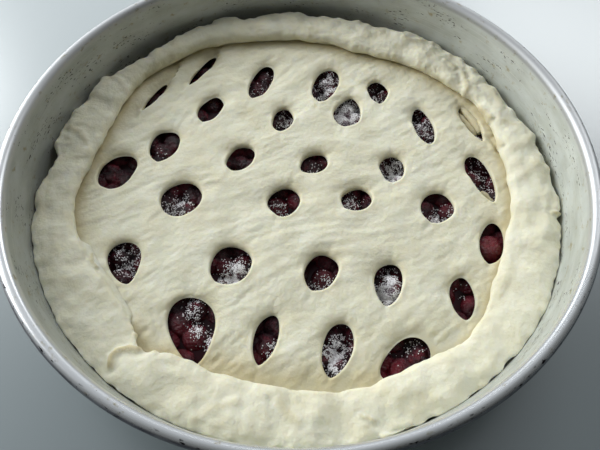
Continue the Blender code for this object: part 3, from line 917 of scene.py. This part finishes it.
def make_roll(material):
    """The bowl of dough under the filling, with its edge rolled in over the sheet."""
    azimuths = np.arange(ROLL_STEPS) * 360 / ROLL_STEPS
    inside = [
        (PROFILE_START, FLOOR_TOP), (BOWL_RADIUS - BOWL_CORNER, FLOOR_TOP),
        (BOWL_RADIUS, FLOOR_TOP + BOWL_CORNER), (BOWL_RADIUS, SHOULDER_HEIGHT),
        (SHEET_RADIUS + GAP, SHOULDER_HEIGHT), (SHEET_RADIUS + GAP, ROLL_FOOT),
    ]
    cling_end = (tin_inside(WALL_CLING_HEIGHT) - GAP, WALL_CLING_HEIGHT)
    corner = arc(corner_centre(), CORNER_RADIUS - GAP, -WALL_LEAN, math.radians(-90), 4)
    outside = [cling_end, *corner, (PROFILE_START, corner[-1][1])]
    parts = [np.repeat(np.array(part)[None], ROLL_STEPS, axis=0) for part in (inside, outside)]
    sections = np.concatenate([parts[0], roll_sections(azimuths), parts[1]], axis=1)
    sections[..., 0] = np.minimum(sections[..., 0], tin_inside(sections[..., 1]) - GAP / 2)
    points, faces = turned_solid(sections)
    piece = add_piece("rolled_base_dough", points, faces, material, "base_dough")
    places = mesh_points(piece.data)
    shown = smooth_step((places[:, 2] - ROLL_BASE) / ROLL_RELIEF_EASE)
    shown *= np.hypot(*places[:, :2].T) > ROLL_INNER - ROLL_RELIEF_REACH
    azimuth = azimuth_of(places)
    blend = roll_blend(azimuth)
    toe = blend * np.exp(-np.clip(places[:, 2] - SHEET_EDGE_TOP, 0, 1) / TOE_FADE)
    creases = crease_relief(places[:, :2], ROLL_CREASES)
    push_out(piece.data, shown * ((1 - toe) * roll_relief(places) + creases))
    keep_in_tin(piece.data)
    # Painted shade at the roll's foot and in its creases, less where the roll runs into the sheet.
    pale_azimuth, pale_width, paleness = PALE_FOOT
    foot = faded(np.clip(places[:, 2] - ROLL_BASE, 0, 1), FOOT_SHADES)
    foot *= (1 - blend) * (1 - paleness * mound(azimuth, pale_azimuth, pale_width))
    painted_shade = -creases / CREASE_SHADE_DEPTH + FOOT_STRENGTH * foot
    paint(piece.data, "painted_shade", np.clip(painted_shade, 0, 1))
    return piece


def keep_in_tin(mesh):
    """Pulls back what would press through the tin's wall."""
    places = mesh_points(mesh)
    radius = np.hypot(*places[:, :2].T)
    squeeze = np.minimum(1, (tin_inside(places[:, 2]) - GAP / 2) / np.maximum(radius, MM))
    places[:, :2] *= squeeze[:, None]
    mesh.vertices.foreach_set("co", places.ravel())
    mesh.update()


def slit_outline(slit, steps, grow=0.0):
    """A slightly irregular drop with its near end a little pointed, grown by a width if asked."""
    x, y, width, length, _, taper = slit
    angle = 2 * math.pi * np.arange(steps) / steps
    draw = random.Random(x * 1000 + y)
    wobble = np.ones(steps)
    for waves in (2, 3, 4, 5):
        height = SLIT_WOBBLE * draw.uniform(-1, 1)
        wobble += height * np.cos(waves * angle + draw.uniform(0, 6.3)) / math.sqrt(waves)
    sharpness = np.where(np.cos(angle) < 0, SLIT_NEAR_POINT, 0)
    narrowing = np.abs(np.sin(angle)) ** sharpness
    along = (length * MM / 2 * wobble + grow) * np.cos(angle)
    across = width * MM / 2 * wobble * (1 + taper * np.cos(angle)) * narrowing + grow
    across = across * np.sin(angle)
    return np.stack(slit_place(slit, along, across), axis=-1)


def slit_place(slit, along, across):
    """World place of distances along and across a slit, from its middle."""
    x, y, _, _, lean, _ = slit
    turn = math.radians(lean)
    return (
        x * MM + along * math.sin(turn) + across * math.cos(turn),
        y * MM + along * math.cos(turn) - across * math.sin(turn),
    )


def outline_distance(places, outline):
    """Distance from each place to a closed outline, and whether the place is inside."""
    nearest = np.full(len(places), np.inf)
    inside = np.zeros(len(places), bool)
    for start, end in zip(outline, np.roll(outline, -1, axis=0)):
        edge = end - start
        part = np.clip(((places - start) @ edge) / (edge @ edge), 0, 1)
        nearest = np.minimum(nearest, np.hypot(*(places - start - part[:, None] * edge).T))
        crosses = (start[1] > places[:, 1]) != (end[1] > places[:, 1])
        rise = edge[1] if edge[1] else 1e-12
        inside ^= crosses & (places[:, 0] < start[0] + edge[0] * (places[:, 1] - start[1]) / rise)
    return nearest, inside


def sheet_base(places):
    """Height of the sheet away from its slits."""
    distance = np.hypot(*places.T)
    azimuth = azimuth_of(places)
    flat = np.hstack([places, np.zeros((len(places), 1))])
    inward = smooth_step(1 - distance / SHEET_LEVEL_RADIUS)
    lump = soft_noise(flat, SHEET_LUMP_SIZE)
    base = SHEET_EDGE_TOP + SHEET_RISE * smooth_step(1.6 * inward)
    base += SHEET_LUMP * lump * np.minimum(1, 3 * inward)
    trough = SHEET_TROUGH * mound(distance, SHEET_TROUGH_RADIUS, SHEET_TROUGH_WIDTH)
    trough *= mound(azimuth, SHEET_TROUGH_AZIMUTH, SHEET_TROUGH_SPAN, SHEET_TROUGH_STEEPNESS)
    creases = crease_relief(places, SHEET_CREASES) + crease_relief(places, slit_tails())
    return base + MM * (relief(flat, SHEET_BULGES) + sheet_streaks(flat)) - trough + creases


def sheet_streaks(flat):
    """Stretch marks in mm, in two directions, bent by a slow noise."""
    bends = [soft_noise(flat, SHEET_WARP_SIZE, shift) for shift in SHEET_WARP_SHIFTS]
    warped = flat[:, :2] + SHEET_WARP * np.stack(bends, axis=-1)
    from_middle = np.hypot(*(flat[:, :2] - SHEET_CALM_MIDDLE).T)
    outward = smooth_step((from_middle - SHEET_CALM_RADIUS) / SHEET_CALM_FADE)
    streaks = np.zeros(len(flat))
    for lean, share in zip(STREAK_LEANS, (1 - outward, outward)):
        way = math.radians(lean)
        turn = np.array([[math.cos(way), -math.sin(way)], [math.sin(way), math.cos(way)]])
        turned = np.hstack([warped @ turn, flat[:, 2:]])
        short_streaks = (1 + outward) * relief(turned, SHORT_STREAKS)
        streaks += share * (relief(turned, LONG_STREAKS) + short_streaks)
    return streaks


def slit_tails():
    """The faint ends of each cut, running on past the opened slit."""
    tail, depth, half_width = SLIT_TAIL
    tails = []
    for x, y, _, length, lean, _ in SLITS:
        way = np.array([math.sin(math.radians(lean)), math.cos(math.radians(lean))])
        for end in (-1, 1):
            start = np.array([x, y]) + end * (length / 2) * way
            tails.append((depth, half_width, [start, start + end * tail * way]))
    return tails


def lip_drop(places):
    """How far the sheet sinks towards the slits: a round edge, and a sag at the far lips."""
    drop = np.zeros(len(places))
    for slit in SLITS:
        middle = np.array(slit[:2]) * MM
        reach = slit[3] * MM / 2 + 3 * LIP_SAG_REACH
        near = np.flatnonzero(np.hypot(*(places - middle).T) < reach)
        gap, inside = outline_distance(places[near], slit_outline(slit, SLIT_COARSE_STEPS))
        gap = np.where(inside, 0, gap)
        offset = places[near] - middle
        far_side = smooth_step((offset[:, 1] / (np.hypot(*offset.T) + 1e-9) + 0.3) / 1.3)
        lip_round = LIP_ROUND_NEAR + (LIP_ROUND_FAR - LIP_ROUND_NEAR) * far_side
        depth = np.clip(1 - gap / lip_round, 0, 1)
        rounding = lip_round * (1 - np.sqrt(1 - depth * depth))
        sag = LIP_SAG * (0.2 + 0.8 * far_side)
        bead = LIP_BEAD * (1 - far_side) * mound(gap / LIP_BEAD_PLACE, 1, LIP_BEAD_WIDTH)
        sunk = rounding + sag * mound(gap, 0, LIP_SAG_REACH) - bead
        drop[near] = np.where(gap < 3 * LIP_SAG_REACH, np.maximum(drop[near], sunk), drop[near])
    return drop


def sheet_layout():
    """Flat points of the sheet and its constraint loops: edge, slits and rings round them."""
    loops = []
    turn = 2 * math.pi * np.arange(SHEET_EDGE_STEPS) / SHEET_EDGE_STEPS
    loops.append(SHEET_RADIUS * np.stack([np.cos(turn), np.sin(turn)], axis=-1))
    for slit in SLITS:
        loops.append(slit_outline(slit, SLIT_STEPS))
        loops.extend(slit_outline(slit, SLIT_STEPS, grow * MM) for grow in SLIT_RINGS)
    rows = int(SHEET_RADIUS / SHEET_GRID) + 2
    row, column = np.mgrid[-rows:rows + 1, -rows:rows + 1]
    grid = np.stack([
        (column + row % 2 / 2) * SHEET_GRID, row * SHEET_GRID * math.sin(math.radians(60)),
    ], axis=-1).reshape(-1, 2)
    reach = np.hypot(*grid.T)
    coarse = ((row % 4 == 0) & (column % 3 == 0)).ravel()
    grid = grid[(reach < SHEET_HIDDEN_RADIUS) | ((reach < SHEET_RADIUS - SHEET_GRID) & coarse)]
    keep = np.ones(len(grid), bool)
    for slit in SLITS:
        gap, inside = outline_distance(grid, slit_outline(slit, SLIT_COARSE_STEPS))
        keep &= ~inside & (gap > (SLIT_RINGS[-1] + 0.5) * MM)
    return loops, grid[keep]


def make_sheet(material):
    """The top sheet: a flat net with the slits left out, raised to its height and thickened."""
    loops, grid = sheet_layout()
    flat = np.vstack([*loops, grid])
    edges = []
    start = 0
    for loop in loops:
        edges.extend((start + step, start + (step + 1) % len(loop)) for step in range(len(loop)))
        start += len(loop)
    corners, _, faces, _, _, _ = delaunay_2d_cdt([Vector(p) for p in flat], edges, [], 0, 1e-7)
    corners = np.array([tuple(corner) for corner in corners])
    faces = np.array([tuple(face) for face in faces])
    middles = corners[faces].mean(axis=1)
    hole = np.zeros(len(faces), bool)
    for slit in SLITS:
        hole |= outline_distance(middles, slit_outline(slit, SLIT_STEPS))[1]
    faces = faces[~hole]
    height = sheet_base(corners) - lip_drop(corners) + step_relief(corners)
    height = np.maximum(height, SHEET_UNDERSIDE + SHEET_THINNEST)
    bm = bmesh.new()
    verts = [bm.verts.new((x, y, z)) for (x, y), z in zip(corners, height)]
    for face in faces:
        bm.faces.new([verts[index] for index in face])
    loose = [vert for vert in bm.verts if not vert.link_faces]
    bmesh.ops.delete(bm, geom=loose, context="VERTS")
    extruded = bmesh.ops.extrude_face_region(bm, geom=list(bm.faces), use_keep_orig=True)
    for item in extruded["geom"]:
        if isinstance(item, bmesh.types.BMVert):
            item.co.z = SHEET_UNDERSIDE
    bmesh.ops.recalc_face_normals(bm, faces=bm.faces)
    mesh = bpy.data.meshes.new("slit_sheet")
    bm.to_mesh(mesh)
    bm.free()
    sheet = add_mesh(mesh, material, "top_dough")
    mesh.set_sharp_from_angle(angle=math.radians(60))
    # Painted shade on the sheet near the roll, in the near trough, at the lips and at the torn steps.
    paint(mesh, "painted_shade", np.clip(sheet_shade(mesh_points(mesh)), 0, 1))
    return sheet


def sheet_shade(places):
    """How much painted shade the sheet gets: near the roll, in the near trough, at the far lips and
    at the torn steps.
    """
    azimuth = azimuth_of(places)
    edge = ROLL_INNER + swell(azimuth, INNER_SWELLS)
    inward = np.clip(edge - np.hypot(*places[:, :2].T), 0, 1)
    painted_shading = faded(inward, EDGE_SHADES) * (1 - BLEND_PALENESS * roll_blend(azimuth))
    trough = mound(azimuth, TROUGH_SHADE_AZIMUTH, TROUGH_SHADE_SPAN, SHEET_TROUGH_STEEPNESS)
    painted_shading += TROUGH_SHADE * trough * mound(inward, 0, TROUGH_SHADE_REACH)
    painted_shading += LIP_SHADE * smooth_step(lip_drop(places[:, :2]) / LIP_SAG)
    return painted_shading + STEP_SHADE * smooth_step(-step_relief(places[:, :2]) / STEP_SHADE_DEPTH)


def ring_faces(rings, sides, start=0):
    """Quads between neighbouring closed rings of points."""
    faces = []
    for ring in range(rings - 1):
        for index in range(sides):
            a = start + ring * sides + index
            b = start + ring * sides + (index + 1) % sides
            faces.append((a, a + sides, b + sides, b))
    return faces


def make_folds(material):
    """The folded dough that shows inside two slits at the right."""
    points = []
    faces = []
    sides = FOLD_SIDES
    steps = FOLD_STEPS
    turn = 2 * np.pi * np.arange(sides) / sides
    for width, thickness, top, route in FOLDS:
        route = np.array(route, float) * MM
        lengths = np.concatenate([[0], np.cumsum(np.hypot(*np.diff(route, axis=0).T))])
        spots = lengths[-1] * (1 - np.cos(np.pi * np.linspace(0, 1, steps))) / 2
        centre = np.stack([np.interp(spots, lengths, route[:, axis]) for axis in (0, 1)], axis=-1)
        centre = smooth_route(centre)
        way = np.gradient(centre, axis=0)
        way /= np.hypot(*way.T)[:, None]
        end = np.clip(np.sin(np.pi * np.linspace(0, 1, steps)), 0.02, 1) ** 0.4
        start = len(points) * sides
        for place, direction, size in zip(centre, way, end):
            side = np.cos(turn) * width * MM / 2 * size
            rise = np.sin(turn) * thickness * MM / 2 * size
            points.append(np.stack([
                place[0] - direction[1] * side, place[1] + direction[0] * side,
                (top - thickness / 2) * MM + rise,
            ], axis=-1))
        faces += ring_faces(steps, sides, start)
        faces.append(tuple(range(start, start + sides)))
        faces.append(tuple(reversed(range(start + (steps - 1) * sides, start + steps * sides))))
    piece = add_piece("folded_dough", np.vstack(points), faces, material, "top_dough")
    places = mesh_points(piece.data)
    push_out(piece.data, MM * sum(relief(places, layer) for layer in FOLD_LAYERS))
    # Painted shade over the whole of the folds.
    paint(piece.data, "painted_shade", np.full(len(places), FOLD_SHADE))
    return piece


def smooth_route(route):
    """Rounds the corners of a route, with its ends kept."""
    for _ in range(6):
        route[1:-1] = (route[:-2] + 2 * route[1:-1] + route[2:]) / 4
    return route


def cherry_places():
    """Cherries under each slit, dropped at random but kept apart: x, y, top and radius."""
    draw = random.Random(CHERRY_SEED)
    places = []
    for number, along, across, top, radius in RISEN_CHERRIES:
        places.append((*slit_frame(SLITS[number], along, across), top, radius))
    outlines = [slit_outline(slit, 32, CHERRY_MARGIN) for slit in SLITS]
    for slit, outline in zip(SLITS, outlines):
        reach = slit[3] * MM / 2 + CHERRY_MARGIN
        for _ in range(CHERRY_TRIES):
            x = slit[0] * MM + draw.uniform(-reach, reach)
            y = slit[1] * MM + draw.uniform(-reach, reach)
            radius = draw.uniform(*CHERRY_RADII)
            top = SHEET_UNDERSIDE - GAP - draw.uniform(0, CHERRY_SINK)
            apart = all(math.hypot(x - other[0], y - other[1]) > CHERRY_SPACING for other in places)
            fits = math.hypot(x, y) + radius < BOWL_RADIUS - GAP
            if apart and fits and outline_distance(np.array([[x, y]]), outline)[1][0]:
                places.append((x, y, top, radius))
    return places


def dusted_colour(node, colour, place):
    """White specks over a colour, as dense as the painted sugar says."""
    level = node(
        "ShaderNodeMath", painted(node, "sugar"), DUST_STRENGTH, DUST_LEVEL, operation="MULTIPLY_ADD")
    specks = noise_texture(node, place, *DUST_SPECK)
    total = node("ShaderNodeMath", specks, level.outputs["Value"], operation="ADD")
    amount = threshold(node, total.outputs["Value"], 0, DUST_SOFTNESS)
    return mix_colour(node, amount, colour, SUGAR_DUST), amount


def cherry_material():
    """Wet dark cherry flesh: maroon with redder patches, finely wrinkled, dusted with sugar."""
    material, shader = plain_material("dark_cherry", (0.06, 0.006, 0.012), 0.36)
    node = node_maker(material)
    place = node("ShaderNodeTexCoord").outputs["Object"]
    tone = ramp(node, noise_texture(node, place, *CHERRY_BLOTCH), CHERRY_TONES)
    reddened = mix_colour(node, painted(node, "redness"), tone, CHERRY_RED)
    colour, dusted = dusted_colour(node, reddened, place)
    feed(shader.inputs["Base Color"], colour)
    feed(shader.inputs["Roughness"], ramp(node, dusted, [(0.0, 0.2), (1.0, 0.7)]))
    feed(shader.inputs["Specular IOR Level"], 0.18)
    feed(shader.inputs["Coat Weight"], 0.4)
    feed(shader.inputs["Coat Roughness"], 0.05)
    wrinkle = noise_texture(node, place, *CHERRY_WRINKLE)
    feed(shader.inputs["Coat Normal"], bump(node, shader, wrinkle, 1.0, 2.6 * MM))
    return material


def mottled_material(name, colour, roughness, blotch, stops):
    """A plain material whose colour follows a noise."""
    material, shader = plain_material(name, colour, roughness)
    node = node_maker(material)
    place = node("ShaderNodeTexCoord").outputs["Object"]
    feed(shader.inputs["Base Color"], ramp(node, noise_texture(node, place, *blotch), stops))
    return material, shader


def pointing(polar, turn):
    """Unit directions, from an angle down from +Z and a turn about it."""
    flat = np.sin(polar)
    return np.stack([flat * np.cos(turn), flat * np.sin(turn), np.cos(polar)], axis=-1)


def cherry_mesh_points(place, index):
    """One stoned cherry: a soft round with a dent where the stone came out."""
    x, y, top, radius = place
    across = CHERRY_SIDES
    down = CHERRY_RINGS
    polar = np.pi * np.arange(1, down) / down
    turn = 2 * np.pi * np.arange(across) / across
    grid = np.meshgrid(polar, turn, indexing="ij")
    direction = np.vstack([pointing(*grid).reshape(-1, 3), [[0, 0, 1], [0, 0, -1]]])
    draw = random.Random(CHERRY_SEED + 1000 + index)
    dent_turn = draw.uniform(0, 2 * math.pi)
    dent = pointing(draw.uniform(0.2, 1.2), dent_turn)
    lump = soft_noise(direction, 0.9, 7.3 * index)
    near_dent = np.exp(-(1 - direction @ dent) / CHERRY_DENT_WIDTH)
    size = radius * (1 + CHERRY_LUMP * lump - CHERRY_DENT * near_dent)
    points = direction * size[:, None] * np.array([1, 1, CHERRY_FLATNESS])
    points += np.array([x, y, top - radius * CHERRY_FLATNESS])
    faces = ring_faces(down - 1, across)
    north = (down - 1) * across
    last = (down - 2) * across
    for step in range(across):
        faces.append((north, step, (step + 1) % across))
        faces.append((north + 1, last + (step + 1) % across, last + step))
    return points, faces


def make_cherries():
    """All the cherries as one piece, painted with redness and sugar."""
    points = []
    faces = []
    start = 0
    for index, place in enumerate(cherry_places()):
        more_points, more_faces = cherry_mesh_points(place, index)
        points.append(more_points)
        faces.extend(tuple(corner + start for corner in face) for face in more_faces)
        start += len(more_points)
    points = np.vstack(points)
    piece = add_piece("cherries", points, faces, cherry_material(), "cherry_filling")
    places = mesh_points(piece.data)[:, :2]
    paint(piece.data, "sugar", scattered_amount(places, SUGAR))
    paint(piece.data, "redness", RED_STRENGTH * scattered_amount(places, RED_FLESH))
    return piece


def make_juice():
    """The juice bed between and below the cherries."""
    steps = 96
    rim = BOWL_RADIUS - 2 * GAP
    floor = FLOOR_TOP + GAP
    profile = np.array([
        (PROFILE_START, BED_TOP), (60 * MM, BED_TOP), (100 * MM, BED_TOP), (rim, BED_TOP),
        (rim, FLOOR_TOP + BOWL_CORNER), (BOWL_RADIUS - BOWL_CORNER - GAP, floor),
        (PROFILE_START, floor),
    ])
    points, faces = turned_solid(np.repeat(profile[None], steps, axis=0))
    colour = (0.02, 0.002, 0.004)
    material, shader = mottled_material("cherry_juice", colour, 0.3, JUICE_RIPPLE, JUICE_TONES)
    feed(shader.inputs["Specular IOR Level"], 0.2)
    return add_piece("cherry_juice", points, faces, material, "cherry_filling")


def slit_frame(slit, along, across):
    """World place of a point given along and across a slit, each from -1 to 1."""
    return slit_place(slit, along * slit[3] * MM / 2, across * slit[2] * MM / 2)


def scattered_amount(places, patches):
    """How much of something lies at each place, from 0 to 1, given as patches in the slits."""
    total = np.zeros(len(places))
    for number, amount, along, across, spread in patches:
        slit = SLITS[number]
        middle = np.array(slit_frame(slit, along, across))
        reach = spread * (slit[2] + slit[3]) / 4 * MM * PATCH_REACH
        total += amount * np.exp(-(((places - middle) ** 2).sum(axis=1) / reach ** 2))
    return np.clip(total, 0, 1)


def make_sugar(cherries, juice):
    """Coarse sugar strewn through the slits: small crystals lying on cherries and juice."""
    depsgraph = bpy.context.evaluated_depsgraph_get()
    trees = [BVHTree.FromObject(piece, depsgraph) for piece in (cherries, juice)]
    draw = random.Random(SUGAR_SEED)
    corners = ((-0.5, -0.5), (0.5, -0.5), (0.5, 0.5), (-0.5, 0.5))
    crystal = np.array([(x, y, z) for z in (-0.5, 0.5) for x, y in corners])
    sides = [(0, 3, 2, 1), (4, 5, 6, 7), (0, 1, 5, 4), (1, 2, 6, 5), (2, 3, 7, 6), (3, 0, 4, 7)]
    points = []
    faces = []
    for number, amount, along, across, spread in SUGAR:
        slit = SLITS[number]
        tries = SUGAR_GRAINS * amount ** SUGAR_CONTRAST * slit[2] * slit[3] / SUGAR_SLIT_AREA
        for _ in range(int(tries)):
            x, y = slit_frame(slit, along + draw.gauss(0, spread), across + draw.gauss(0, spread))
            turned_place = Vector((0.8 * x + 0.6 * y, 0.8 * y - 0.6 * x, 0))
            clump = noise.noise(turned_place / SUGAR_CLUMP + SUGAR_SHIFT)
            if clump < draw.gauss(*SUGAR_CLUMP_LEVELS):
                continue
            above = Vector((x, y, SHEET_UNDERSIDE))
            hits = [tree.ray_cast(above, Vector((0, 0, -1))) for tree in trees]
            hits = [hit[0] for hit in hits if hit[0] is not None]
            if not hits or math.hypot(x, y) > BOWL_RADIUS - 2 * MM:
                continue
            top = max(hits, key=lambda hit: hit.z)
            size = draw.uniform(*SUGAR_SIZES)
            spin = Matrix.Rotation(draw.uniform(0, math.pi), 3, "Z")
            tip = Matrix.Rotation(draw.uniform(0, math.pi), 3, "X")
            shape = np.array([draw.uniform(0.7, 1.2) for _ in range(3)]) * size
            turned = (crystal * shape) @ np.array(spin @ tip).T
            start = 8 * len(points)
            points.append(turned + np.array([x, y, top.z + 0.25 * size]))
            faces.extend(tuple(corner + start for corner in side) for side in sides)
    points = np.vstack(points)
    colour = (0.86, 0.85, 0.86)
    material, _ = mottled_material("wet_sugar", colour, 0.3, SUGAR_BLOTCH, SUGAR_TONES)
    piece = add_piece("sugar_grains", points, faces, material, "cherry_filling")
    piece.data.shade_flat()
    return piece


scene_camera()
studio()
make_tin()
roll_dough = dough_material("raw_dough_roll")
sheet_dough = dough_material("raw_dough_sheet")
make_roll(roll_dough)
make_sheet(sheet_dough)
make_folds(sheet_dough)
juice = make_juice()
cherries = make_cherries()
make_sugar(cherries, juice)
